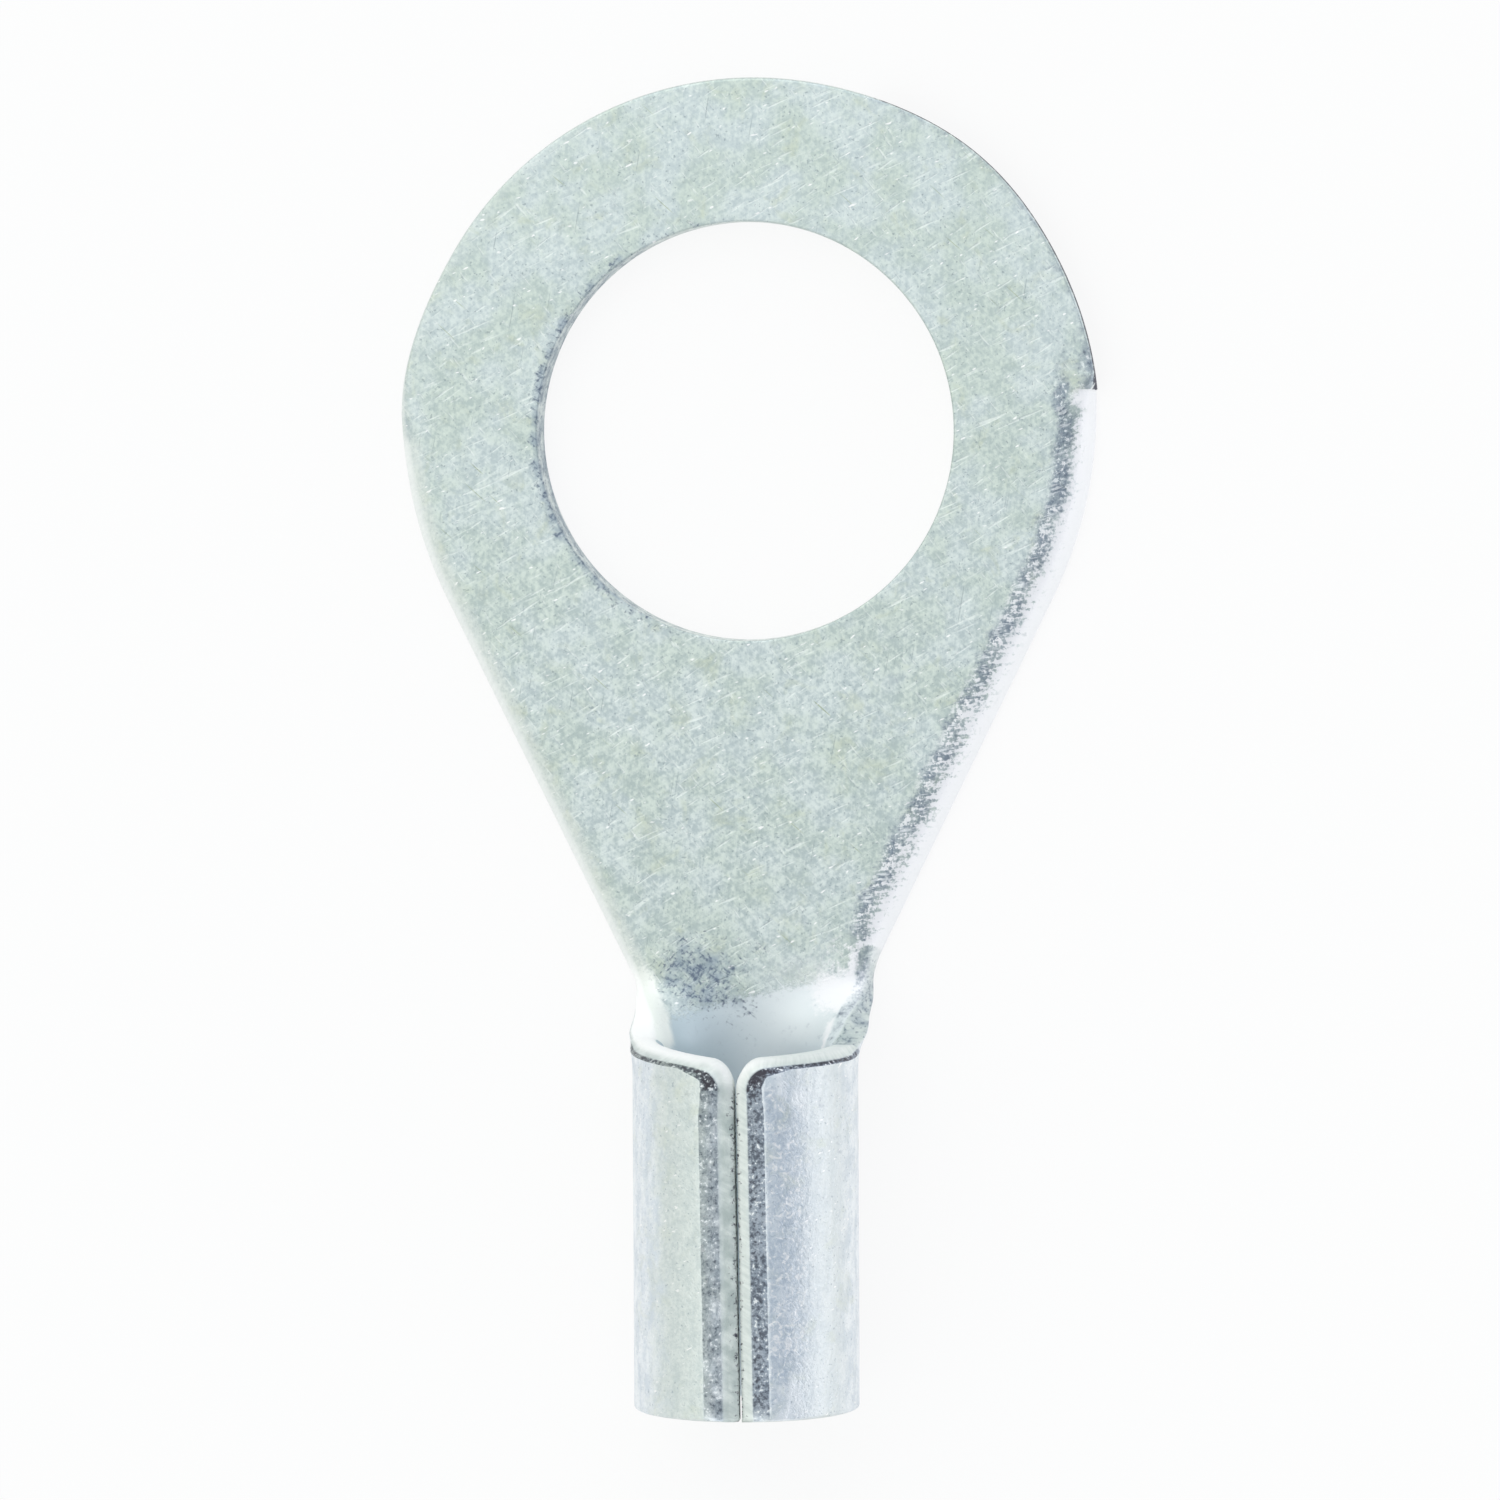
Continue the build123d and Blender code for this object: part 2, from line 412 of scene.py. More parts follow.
def nearest(places, loop):
    """The distance from each place to the nearest point of a loop, and that point's number."""
    found = []
    for part in np.array_split(places, 40):
        squares = ((part[:, None, :] - loop[None, :, :]) ** 2).sum(2)
        found.append(np.stack([np.sqrt(squares.min(1)), squares.argmin(1)], 1))
    return np.vstack(found)


net_low, net_high = (-5.9, -16.1), (5.9, 6.0)
clear_share = 0.55


def fill(outer_loop, inner_loop, spacing):
    """Net points between two loops, and triangles over outer, inner and net points."""
    xs, ys = (np.arange(*limits) for limits in zip(net_low, net_high, spacing))
    grid = np.stack(np.meshgrid(xs, ys), 2)
    grid[1::2, :, 0] += spacing[0] / 2
    grid = grid.reshape(-1, 2)
    grid = grid[is_inside(grid, outer_loop)]
    is_clear = nearest(grid, np.vstack([outer_loop, inner_loop]))[:, 0] > clear_share * min(spacing)
    net = grid[is_clear & (np.hypot(grid[:, 0], grid[:, 1]) >= hole_radius)]
    points = np.vstack([outer_loop, inner_loop, net])
    first, second = len(outer_loop), len(outer_loop) + len(inner_loop)
    edges = [(i, (i + 1) % first) for i in range(first)]
    edges += [(i, first + (i + 1 - first) % (second - first)) for i in range(first, second)]
    edges = [e for e in edges if np.linalg.norm(points[e[0]] - points[e[1]]) > 1e-5]
    _, _, triangles, sources, _, _ = geometry.delaunay_2d_cdt(
        [Vector(p) for p in points], edges, [], 1, 1e-6, True
    )
    kept_as = [source[0] if source else -1 for source in sources]
    triangles = np.array([[kept_as[i] for i in t] for t in triangles if len(t) == 3])
    triangles = triangles[(triangles >= 0).all(1)]
    middles = points[triangles].mean(1)
    in_sheet = is_inside(middles, outer_loop) & ~is_inside(middles, inner_loop)
    return net, triangles[in_sheet]


upper_net, upper_triangles = fill(rims[:, -1], hole_rims[:, -1], (0.12, 0.13))
under_net, under_triangles = fill(rims[:, 0], hole_rims[:, 0], (0.13, 0.16))
print("net points:", len(upper_net), len(under_net))
print("triangles:", len(upper_triangles), len(under_triangles))

# %% [markdown]
# ## The blank as one closed mesh
#
# The rims, the hole's wall and the two faces share their points, so the blank is one closed
# skin.

# %% Join everything
rim_total, hole_total = len(outline) * section_count, hole_count * section_count
rim_points = np.concatenate([rims, heights[:, :, None]], 2).reshape(-1, 3)
hole_points = np.concatenate([hole_rims, hole_heights[:, :, None]], 2).reshape(-1, 3)
upper_points = np.column_stack([upper_net, np.full(len(upper_net), thickness)])
under_points = np.column_stack([under_net, np.zeros(len(under_net))])
points = np.vstack([rim_points, hole_points, upper_points, under_points])


def wall(rows, start):
    """The quads between neighbouring sections of a closed band."""
    i, k = np.meshgrid(np.arange(rows), np.arange(section_count - 1), indexing="ij")
    following = (i + 1) % rows
    corners = [
        start + i * section_count + k,
        start + following * section_count + k,
        start + following * section_count + k + 1,
        start + i * section_count + k + 1,
    ]
    return np.stack([c.ravel() for c in corners], 1)


def net_faces(triangles, level, net_start):
    """The fill's triangles, with its point numbers turned into those of the whole mesh."""
    outer_count = len(outline)
    numbers = triangles.copy()
    on_outer = triangles < outer_count
    on_hole = (triangles >= outer_count) & (triangles < outer_count + hole_count)
    numbers[on_outer] = triangles[on_outer] * section_count + level
    numbers[on_hole] = rim_total + (triangles[on_hole] - outer_count) * section_count + level
    on_net = ~on_outer & ~on_hole
    numbers[on_net] = net_start + triangles[on_net] - outer_count - hole_count
    return numbers


upper_start = rim_total + hole_total
under_start = upper_start + len(upper_points)
parts = [
    wall(len(outline), 0),
    wall(hole_count, rim_total),
    net_faces(upper_triangles, section_count - 1, upper_start),
    net_faces(under_triangles, 0, under_start),
]
faces = [face for part in parts for face in part.tolist()]
print("points:", len(points), "faces:", len(faces))

# %% [markdown]
# ## What the press left at each point, and where light and shade are painted
#
# Every point carries a few numbers for the material to read. Most run from 0 to 1: where the
# face is cut, where a highlight is painted, where it is scuffed or polished, where the hole's
# left wall and a few dark edges are painted as shade, where hairs fray the shoulder, where
# wisps curl beside the seam, and which points end up on the barrel's outside. The one for
# painted shade over dragged metal goes up to about 2. Two are lengths in millimetres: how far
# along the edge a point is, and how far in from it. All follow from how far a point is from
# the blank's edge, and from which stretch of the edge is nearest. Their places were read from
# the real piece, and the waver of the dark band stands for an edge that no one can measure.

# %% How far each point is from the edge
far_inside = 9.0
rows = np.repeat(np.arange(len(outline)), section_count)
to_edge = np.vstack(
    [
        np.stack([insets.ravel(), rows], 1),
        np.tile([far_inside, 0], (hole_total, 1)),
        nearest(upper_net, outline),
        nearest(under_net, outline),
    ]
)
edge_distance, edge_number = to_edge[:, 0], to_edge[:, 1].astype(int)
rim_levels = np.tile(np.arange(section_count) >= half_count, len(outline) + hole_count)
is_upper = np.concatenate(
    [rim_levels, np.ones(len(upper_net), bool), np.zeros(len(under_net), bool)]
)
in_hole = slice(rim_total, rim_total + hole_total)
place_x, place_y = points[:, 0], points[:, 1]
nearest_zone, nearest_right = zones[edge_number], on_right[edge_number]
run = along[edge_number]
run[in_hole] = np.repeat(hole_angles * hole_radius, section_count)
print("points within half a millimetre of the edge:", int((edge_distance < 0.5).sum()))


# %% Small shapes for the fields
def near_edge(full, none):
    """1 up to one distance in from the edge, and a smooth fall to 0 at another."""
    return smooth(edge_distance, none, full)


def spots(rows):
    """Soft oval spots on the upper face: each row is a strength, x, y, width and height."""
    return is_upper * sum(
        strength * np.exp(-(((place_x - x) / wide) ** 2) - ((place_y - y) / tall) ** 2)
        for strength, x, y, wide, tall in rows
    )


def by_section(shares, hole_share=0.0):
    """A value for every point from its level in the edge's section, none on the faces."""
    on_rims = np.tile(shares, len(outline))
    on_hole = hole_share * np.tile(shares, hole_count)
    return np.concatenate([on_rims, on_hole, np.zeros(len(points) - upper_start)])


def by_zone(right, left, width=6):
    """A value for each point of the outline from its zone and side, softened along it."""
    values = [(right if r else left).get(z, 0.0) for z, r in zip(zones, on_right)]
    return softened(np.array(values)[:, None], width)[:, 0]


# %% [markdown]
# A section has 18 levels. The first nine go from the underside's face over its shoulder and
# down the leaning face, and the last nine come back to the upper side. Each row below says
# how much of something a level has: rolled-over metal on the wings' outer shoulder, the
# sheared face, the middle of the seam's gap, and the part that gets a painted highlight.

# %% Shares by level, and by stretch of the edge
rolled_share = np.array([0, 0, 0.9, 1, 1, 0.3] + [0] * 12)
sheared_share = np.array([0] * 5 + [0.7] + [1] * 6 + [0.7] + [0] * 5)
at_gap = np.array([0] * 7 + [0.35, 1, 1, 1, 1] + [0] * 6)
highlight_level_share = np.array([0] * 5 + [0.15, 0.35, 0.75, 1, 1, 1, 1, 0.7] + [0] * 5)

# How dark each stretch of the wings' rolled shoulder is painted, as the shadow line under the front
# lip and beside the seam.
edge_shade_and_drag = by_zone(
    {"front": 1.65, "corner": 1.85, "seam": 1.40}, {"front": 1.5, "corner": 1.8, "seam": 0.90}, 3
)
# Painted highlights on the sheared faces and edges, by stretch of the edge.
edge_highlight = by_zone(
    {"cheek": 1.0, "taper": 1.0, "neck": 0.1, "front": 0.4, "corner": 0.8, "seam": 0.2},
    {"cheek": 0.1, "taper": 0.1, "neck": 1.0, "root": 1.0, "front": 1.0, "corner": 0.7},
)
frayed_edge = by_zone({"cheek": 0.9, "taper": 1.3, "neck": 0.6, "root": 0.3}, {"neck": 0.4})

# %% Painted shade over dragged metal: the dark band inside the right edge, where it fades out on the ring, and painted shadow lines along the ring's upper right and the wings' rolled shoulders
on_side = is_upper & np.isin(nearest_zone, ["cheek", "taper"])
at_neck = is_upper & np.isin(nearest_zone, ["neck", "root"])
on_ring = is_upper & (nearest_zone == "ring")
waver = 0.025 * np.sin(2.1 * run) + 0.035 * np.sin(5.3 * run + 1.0)
wavering_distance = edge_distance + waver
band = smooth(wavering_distance, 0.29, 0.45) * smooth(wavering_distance, 0.79, 0.56)
beside_neck = smooth(edge_distance, 0.02, 0.09) * near_edge(0.25, 0.34)
upper_right = smooth(place_y, 1.5, 2.6) * smooth(place_x, 1.0, 2.4)
shade_and_drag = sum(
    [
        # Painted shade: the dark band over the right edge's dragged shoulder.
        band * (on_side & nearest_right) * (0.56 + 0.14 * smooth(place_y, -3.2, -1.6)),
        0.62 * band * (on_ring & nearest_right) * smooth(place_y, 1.9, 0.6),
        0.42 * beside_neck * (at_neck & nearest_right),
        # Painted shadow: an inner shadow along the ring's upper right edge.
        0.8 * on_ring * (place_x > 0) * smooth(place_y, 2.4, right_trim_y) * near_edge(0.12, 0.42),
        0.34 * on_ring * upper_right * near_edge(0.02, 0.24),
        # Painted shadow: the dark line along the wings' rolled shoulders.
        by_section(rolled_share) * edge_shade_and_drag[edge_number],
    ]
)
print("dark and ragged, at most:", round(float(shade_and_drag.max()), 2))

# %% Painted highlights: the bright edges, and a few bright spots where the wings root
# Painted highlights: soft bright spots by the wings' roots, and one below the ring's right trim.
highlight_spots = (
    (1.6, 1.44, -9.26, 0.28, 0.24),
    (1.0, -1.72, -9.25, 0.14, 0.30),
    (1.1, 5.50, 0.52, 0.16, 0.14),
    (0.30, 0.95, -8.95, 0.80, 0.35),
    (0.7, 1.45, -8.50, 0.22, 0.06),
    (0.9, -1.85, -9.80, 0.18, 0.30),
)
right_side_here, left_side_here = on_side & nearest_right, on_side & ~nearest_right
highlight_width = 0.14 + 0.34 * smooth(place_y, right_trim_y, right_trim_y - 0.8)
neck_line = smooth(edge_distance, 0.28, 0.34) * near_edge(0.40, 0.46)
painted_highlight = sum(
    [
        right_side_here * smooth(wavering_distance / highlight_width, 1.0, 0.42),
        0.12 * right_side_here * near_edge(0.50, 0.78) * smooth(place_y, -0.6, -2.4),
        0.46 * left_side_here * near_edge(0.20, 0.44) * smooth(place_y, 0.05, -0.25),
        0.25 * on_ring * smooth(place_x, -0.5, -3.5) * near_edge(0.0, 0.35),
        (at_neck & ~nearest_right) * near_edge(0.12, 0.42),
        (at_neck & nearest_right) * neck_line,
        by_section(highlight_level_share) * edge_highlight[edge_number],
        spots(highlight_spots),
    ]
)
painted_highlight = np.clip(painted_highlight, 0, 1)

# %% Scuffed: the patch at the neck, the hole's left rim and the right wing's root, and painted shade on the hole's left wall
scuffed_spots = (
    (0.85, -0.95, -9.08, 0.48, 0.40),
    (0.50, -1.10, -8.66, 0.48, 0.36),
    (0.50, -0.50, -8.75, 0.46, 0.44),
    (0.50, -0.45, -9.40, 0.60, 0.22),
    (0.6, 0.10, -8.62, 0.26, 0.07),
    (0.40, -0.2, -9.75, 0.25, 0.30),
)
most_scuffed = 0.85
left_of_hole = np.clip(-place_x / 2.6, 0, 1)
hole_gap = np.hypot(place_x, place_y) - hole_radius
scuff_and_wall_shade = spots(scuffed_spots)
scuff_and_wall_shade += 0.85 * is_upper * left_of_hole * smooth(hole_gap, 0.26, 0.02)
# The hole's left wall is painted darker: painted shade.
scuff_and_wall_shade[in_hole] = 0.8 * left_of_hole[in_hole]
scuff_and_wall_shade = np.minimum(scuff_and_wall_shade, most_scuffed)
right_root = nearest_right & np.isin(nearest_zone, ["neck", "root"])
scuff_and_wall_shade += 0.75 * by_section(sheared_share) * right_root * smooth(place_y, -8.6, -9.1)

# %% Painted shade: a dark cut face along the ring's upper right edge, and faintly in the seam's gap
dark_edge_stretch = smooth(place_y, -0.2, 0.4) * smooth(place_x, 1.6, 2.6)
dark_edge_shade = by_section(sheared_share) * (nearest_zone == "ring") * dark_edge_stretch
dark_edge_shade += 0.42 * by_section(at_gap) * (nearest_zone == "seam")

# %% All the fields by name
beside_seam = ~is_upper & nearest_right & (nearest_zone == "seam") & (place_y < -10.6)
fields = {
    "cut": by_section(sheared_share, 1.0),
    "shade_and_drag": shade_and_drag,
    "painted_highlight": painted_highlight,
    "scuff_and_wall_shade": scuff_and_wall_shade,
    "dark_edge_shade": dark_edge_shade,
    "burnished": is_upper * smooth(place_y - 0.22 * place_x, -9.05, -9.60),
    "outside": ~is_upper,
    "run": run,
    "inset": edge_distance,
    "wisped": beside_seam * smooth(edge_distance, 0.36, 0.44) * near_edge(0.95, 1.30),
    "frayed": is_upper * frayed_edge[edge_number] * near_edge(0.7, 1.0),
}
print("fields:", {name: round(float(values.mean()), 3) for name, values in fields.items()})

# %% Make the mesh
blank_mesh = bpy.data.meshes.new("flat_blank")
blank_mesh.from_pydata((points * MM).tolist(), [], faces)
for name, values in fields.items():
    field = blank_mesh.attributes.new(name, "FLOAT", "POINT")
    field.data.foreach_set("value", values.astype(np.float32))
skin = bmesh.new()
skin.from_mesh(blank_mesh)
bmesh.ops.remove_doubles(skin, verts=skin.verts, dist=0.0005 * MM)
bmesh.ops.recalc_face_normals(skin, faces=skin.faces)
for face in skin.faces:
    face.smooth = True
open_edges = sum(not e.is_manifold for e in skin.edges)
print("closed skin, open edges:", open_edges, "volume mm3:", round(skin.calc_volume() / MM**3, 2))
skin.to_mesh(blank_mesh)
skin.free()
terminal = bpy.data.objects.new("rolled_terminal", blank_mesh)
scene.collection.objects.link(terminal)

# %% [markdown]
# ## Nodes by one small function
#
# Trees of nodes are built in the script. One function adds a node, sets what it is told and
# links what it is given, whatever the kind of node.

# %% Add a node
def add(tree, kind, values=None, out=0, **settings):
    """Adds a node, fills or links its inputs, and gives back one of its outputs."""
    node = tree.nodes.new(kind)
    for name, value in settings.items():
        setattr(node, name, value)
    for key, value in (values or {}).items():
        if isinstance(value, bpy.types.NodeSocket):
            tree.links.new(value, node.inputs[key])
        else:
            node.inputs[key].default_value = value
    return node.outputs[out] if len(node.outputs) else None


MATH, RANGE, MIX = "ShaderNodeMath", "ShaderNodeMapRange", "ShaderNodeMix"
NOISE = "ShaderNodeTexNoise"
PLUS, MINUS, TIMES = {"operation": "ADD"}, {"operation": "SUBTRACT"}, {"operation": "MULTIPLY"}
OVER, TIMES_PLUS = {"operation": "DIVIDE"}, {"operation": "MULTIPLY_ADD"}
LARGER, SMOOTH = {"operation": "MAXIMUM"}, {"interpolation_type": "SMOOTHSTEP"}
COLOURS = {"out": 2, "data_type": "RGBA"}

# %% [markdown]
# ## The roll
#
# Bending sheet metal keeps the middle of its thickness at its length. So one rule gives the
# whole form: a point at X along the sheet's width turns by X times the curl, and the layers
# above and below the middle get a smaller or a larger radius. The curl is nothing on the
# tongue, grows smoothly over the neck, and is one over the barrel's radius beyond it.
# Geometry Nodes move each point by that rule, so the same tree rolls any blank. The wings
# also spread a little at the mouth, where the rolling die lets go of them.

# %% The rolling tree
roll = bpy.data.node_groups.new("roll_the_blank", "GeometryNodeTree")
roll.interface.new_socket("Geometry", in_out="INPUT", socket_type="NodeSocketGeometry")
roll.interface.new_socket("Geometry", in_out="OUTPUT", socket_type="NodeSocketGeometry")
roll_inputs = {}
for label, value in (
    ("Sheet Thickness", thickness * MM),
    ("Curl Start", curl_start_y * MM),
    ("Curl End", curl_end_y * MM),
    ("Middle Radius", fibre_radius * MM),
    ("Mouth Spread", 0.11 * MM),
    ("Mouth Place", -9.86 * MM),
    ("Mouth Reach", 0.24 * MM),
):
    socket = roll.interface.new_socket(label, in_out="INPUT", socket_type="NodeSocketFloat")
    socket.default_value = value
    roll_inputs[label] = (socket.identifier, value)
socket = roll.interface.new_socket("Plating", in_out="INPUT", socket_type="NodeSocketMaterial")
roll_inputs["Plating"] = (socket.identifier, None)

given = add(roll, "NodeGroupInput").node.outputs
position = add(roll, "GeometryNodeInputPosition")
x, y, z = add(roll, "ShaderNodeSeparateXYZ", {0: position}).node.outputs

# %% How far each point turns, with a trace of curl left on the tongue to divide by
nearly_flat = 0.01
full_curl = add(roll, MATH, {0: 1.0, 1: given["Middle Radius"]}, **OVER)
curl_values = {0: y, 1: given["Curl Start"], 2: given["Curl End"], 3: nearly_flat, 4: full_curl}
curl = add(roll, RANGE, curl_values, **SMOOTH)
turn = add(roll, MATH, {0: x, 1: curl}, **TIMES)
sine = add(roll, MATH, {0: turn}, operation="SINE")
cosine = add(roll, MATH, {0: turn}, operation="COSINE")

# %% Where it goes: sideways by the sine, up by one less the cosine
half_thickness = add(roll, MATH, {0: given["Sheet Thickness"], 1: 0.5}, **TIMES)
from_middle = add(roll, MATH, {0: half_thickness, 1: z}, **MINUS)
radius = add(roll, MATH, {0: 1.0, 1: curl}, **OVER)
layer_radius = add(roll, MATH, {0: radius, 1: from_middle}, **PLUS)
rolled_x = add(roll, MATH, {0: layer_radius, 1: sine}, **TIMES)
half_turn = add(roll, MATH, {0: turn, 1: 0.5}, **TIMES)
half_sine = add(roll, MATH, {0: half_turn}, operation="SINE")
half_sine_squared = add(roll, MATH, {0: half_sine, 1: half_sine}, **TIMES)
rise_share = add(roll, MATH, {0: 2.0, 1: half_sine_squared}, **TIMES)
rise = add(roll, MATH, {0: layer_radius, 1: rise_share}, **TIMES)
rolled_z = add(roll, MATH, {0: rise, 1: z}, **PLUS)

# %% The spread at the mouth, strongest half way up the barrel's sides
from_mouth = add(roll, MATH, {0: y, 1: given["Mouth Place"]}, **MINUS)
offset = add(roll, MATH, {0: from_mouth, 1: given["Mouth Reach"]}, **OVER)
square = add(roll, MATH, {0: offset, 1: offset}, **TIMES)
falling = add(roll, MATH, {0: square, 1: -1.0}, **TIMES)
bell = add(roll, MATH, {0: falling}, operation="EXPONENT")
spread = add(roll, MATH, {0: bell, 1: given["Mouth Spread"]}, **TIMES)
steep = add(roll, MATH, {0: sine}, operation="ABSOLUTE")
sideways = add(roll, MATH, {0: sine, 1: steep}, **TIMES)
spread_x = add(roll, MATH, {0: spread, 1: sideways, 2: rolled_x}, **TIMES_PLUS)

# %% Move the points and coat them
rolled = add(roll, "ShaderNodeCombineXYZ", {0: spread_x, 1: y, 2: rolled_z})
moved = add(roll, "GeometryNodeSetPosition", {"Geometry": given["Geometry"], "Position": rolled})
real = add(roll, "GeometryNodeRealizeInstances", {0: moved})
coated = add(roll, "GeometryNodeSetMaterial", {0: real, "Material": given["Plating"]})
add(roll, "NodeGroupOutput", {0: coated})
print("nodes in the rolling tree:", len(roll.nodes))

# %% [markdown]
# ## Tin plate
#
# Matte tin is plated over the copper after the blank is stamped. It is a pale grey metal
# with a faint green cast. Its crystals tilt this way and that, so the face glitters softly
# instead of mirroring. Real ones are a few thousandths of a millimetre and would not show,
# so they are drawn coarser, about fifteen to a millimetre. Where the press dragged the sheet
# over, the coat is stretched and duller, and shade is painted dark over these shoulders.
# The sheared faces are smooth and paler, with fine marks across the edge. Highlights and
# glints are painted white on edges, shoulders and a few spots. The punch polished the
# trough's floor, which lost its grain and turned a little blue, and its left is painted
# darker as shade. All patterns read the object's own place in millimetres, so a noise's
# Scale is how many grains there are to a millimetre.

# %% Colours
def colour(hex_value):
    """An sRGB hex colour as linear red, green and blue, and full alpha."""
    parts = [int(hex_value[i : i + 2], 16) / 255 for i in (1, 3, 5)]
    linear = [c / 12.92 if c <= 0.04045 else ((c + 0.055) / 1.055) ** 2.4 for c in parts]
    return (*linear, 1.0)


# %% The plating's material
plate = bpy.data.materials.new("matte_tin_plate")
plate.use_nodes = True
tree = plate.node_tree
tree.nodes.clear()

where = add(tree, "ShaderNodeTexCoord", out="Object")
in_mm = add(tree, "ShaderNodeVectorMath", {0: where, 3: 1 / MM}, operation="SCALE")
far_x, far_y, _ = add(tree, "ShaderNodeSeparateXYZ", {0: in_mm}).node.outputs
press = {
    name: add(tree, "ShaderNodeAttribute", out="Fac", attribute_name=name) for name in fields
}


# %% Strokes
def strokes(angle, length, width, shift=0.0):
    """A pattern of short strokes that lie at an angle, with their length and width in mm."""
    laid = add(
        tree,
        "ShaderNodeMapping",
        {
            "Vector": in_mm,
            "Location": (shift, shift, shift),
            "Rotation": (0, 0, radians(angle)),
            "Scale": (length, width, 2 * width),
        },
        vector_type="TEXTURE",
    )
    return add(tree, NOISE, {"Vector": laid, "Scale": 1.0, "Detail": 1.0})


# %% The grain: crystals, three ways of brushing, and broad patches that grow towards the neck
crystals = add(tree, NOISE, {"Vector": in_mm, "Scale": 15.0, "Detail": 3.0, "Roughness": 0.75})
brushed = strokes(28, 0.24, 0.06)
for laid in ((-42, 0.20, 0.055, 7.0), (84, 0.20, 0.05, 13.0)):
    brushed = add(tree, MATH, {0: brushed, 1: strokes(*laid)}, **PLUS)
brushed = add(tree, MATH, {0: brushed, 1: 0.2}, **TIMES)
grain = add(tree, MATH, {0: crystals, 1: 0.4, 2: brushed}, **TIMES_PLUS)
patches = add(tree, NOISE, {"Vector": in_mm, "Scale": 3.5, "Detail": 2.0})
patches = add(tree, MATH, {0: patches, 1: 0.5}, **MINUS)
patch_gain = add(tree, RANGE, {0: far_y, 1: 4.0, 2: -8.0, 3: 0.04, 4: 0.26})
grain = add(tree, MATH, {0: patches, 1: patch_gain, 2: grain}, **TIMES_PLUS)
light_grain = add(tree, RANGE, {0: grain, 1: 0.40, 2: 0.60}, **SMOOTH)

# %% The tongue's tin: two greys by the grain, cooler or greener by the cloud
contrast = add(tree, RANGE, {0: far_y, 1: 4.0, 2: -6.0})
dark_tin = add(tree, MIX, {0: contrast, 6: colour("#c5d0d2"), 7: colour("#bac6c9")}, **COLOURS)
pale_tin = add(tree, MIX, {0: contrast, 6: colour("#dae3e1"), 7: colour("#e1e9e7")}, **COLOURS)
tin = add(tree, MIX, {0: light_grain, 6: dark_tin, 7: pale_tin}, **COLOURS)
clouds = add(tree, NOISE, {"Vector": in_mm, "Scale": 1.3, "Detail": 3.0})
cloudy = add(tree, RANGE, {0: clouds, 1: 0.38, 2: 0.62}, **SMOOTH)
tint = add(tree, MIX, {0: cloudy, 6: colour("#f3f7f1"), 7: colour("#fcfeff")}, **COLOURS)
tin = add(tree, MIX, {0: 1.0, 6: tin, 7: tint}, blend_type="MULTIPLY", **COLOURS)
shade_to_neck = add(tree, RANGE, {0: far_y, 1: 6.0, 2: -9.0, 4: 0.30})
stains = add(tree, NOISE, {"Vector": in_mm, "Scale": 2.2, "Detail": 4.0, "Distortion": 0.8})
stained = add(tree, RANGE, {0: stains, 1: 0.54, 2: 0.76, 4: 0.7}, **SMOOTH)
stained = add(tree, MATH, {0: stained, 1: crystals}, **TIMES)
# The tongue turns darker towards the neck: painted shade, where the light falls off.
for share, shade in ((shade_to_neck, "#b4bfbc"), (stained, "#c2cab0")):
    tin = add(tree, MIX, {0: share, 6: tin, 7: colour(shade)}, **COLOURS)

# %% [markdown]
# Handling leaves its marks on soft tin, and the white flecks among them are painted glints.
# Each is a noise, drawn out into strokes or left round, and a range keeps only its highest
# or lowest values. A row gives the pattern, the value at which the mark starts, the one at
# which it is full, its strength there, and its colour.

# %% Scratches, nicks, traces and dark specks on the tongue, and white flecks as painted glints
long_strokes = strokes(24, 0.7, 0.065, 3.1)
for laid in ((34, 0.45, 0.06, 17.4), (-50, 0.3, 0.05, 29.8)):
    long_strokes = add(tree, MATH, {0: long_strokes, 1: strokes(*laid)}, **LARGER)
specks = add(tree, NOISE, {"Vector": in_mm, "Scale": 19.0, "Detail": 1.0})
mark_rows = {
    "scratches": (long_strokes, 0.64, 0.80, 0.45, "#f4faf7"),
    "nicks": (strokes(80, 0.9, 0.04, 41.2), 0.28, 0.20, 0.4, "#77858c"),
    "traces": (strokes(-42, 1.1, 0.045, 61.3), 0.27, 0.21, 0.6, "#9aa57c"),
    "dark_specks": (specks, 0.33, 0.25, 0.45, "#74838e"),
    # Painted glints: white flecks.
    "glint_flecks": (strokes(25, 0.16, 0.06, 53.0), 0.69, 0.78, 0.8, "#ffffff"),
}
marks = {}
for name, (pattern, start, full, most, shade) in mark_rows.items():
    marks[name] = add(tree, RANGE, {0: pattern, 1: start, 2: full, 4: most}, **SMOOTH)
    tin = add(tree, MIX, {0: marks[name], 6: tin, 7: colour(shade)}, **COLOURS)

# %% The trough's floor, polished by the punch, with a ragged border; it is painted darker towards its left as shade
at_border = add(tree, MATH, {0: crystals, 1: 1.2, 2: press["burnished"]}, **TIMES_PLUS)
polished = add(tree, RANGE, {0: at_border, 1: 0.85, 2: 1.35}, **SMOOTH)
any_polish = add(tree, RANGE, {0: press["burnished"], 1: 0.0, 2: 0.2})
polished = add(tree, MATH, {0: polished, 1: any_polish}, **TIMES)
across_trough = add(tree, RANGE, {0: far_x, 1: -1.3, 2: 0.6}, **SMOOTH)
# Painted shade: the polished floor darker and bluer towards its left.
polished_and_shaded = add(tree, MIX, {0: across_trough, 6: colour("#c5d4db"), 7: colour("#e8eef1")}, **COLOURS)
tin = add(tree, MIX, {0: polished, 6: tin, 7: polished_and_shaded}, **COLOURS)

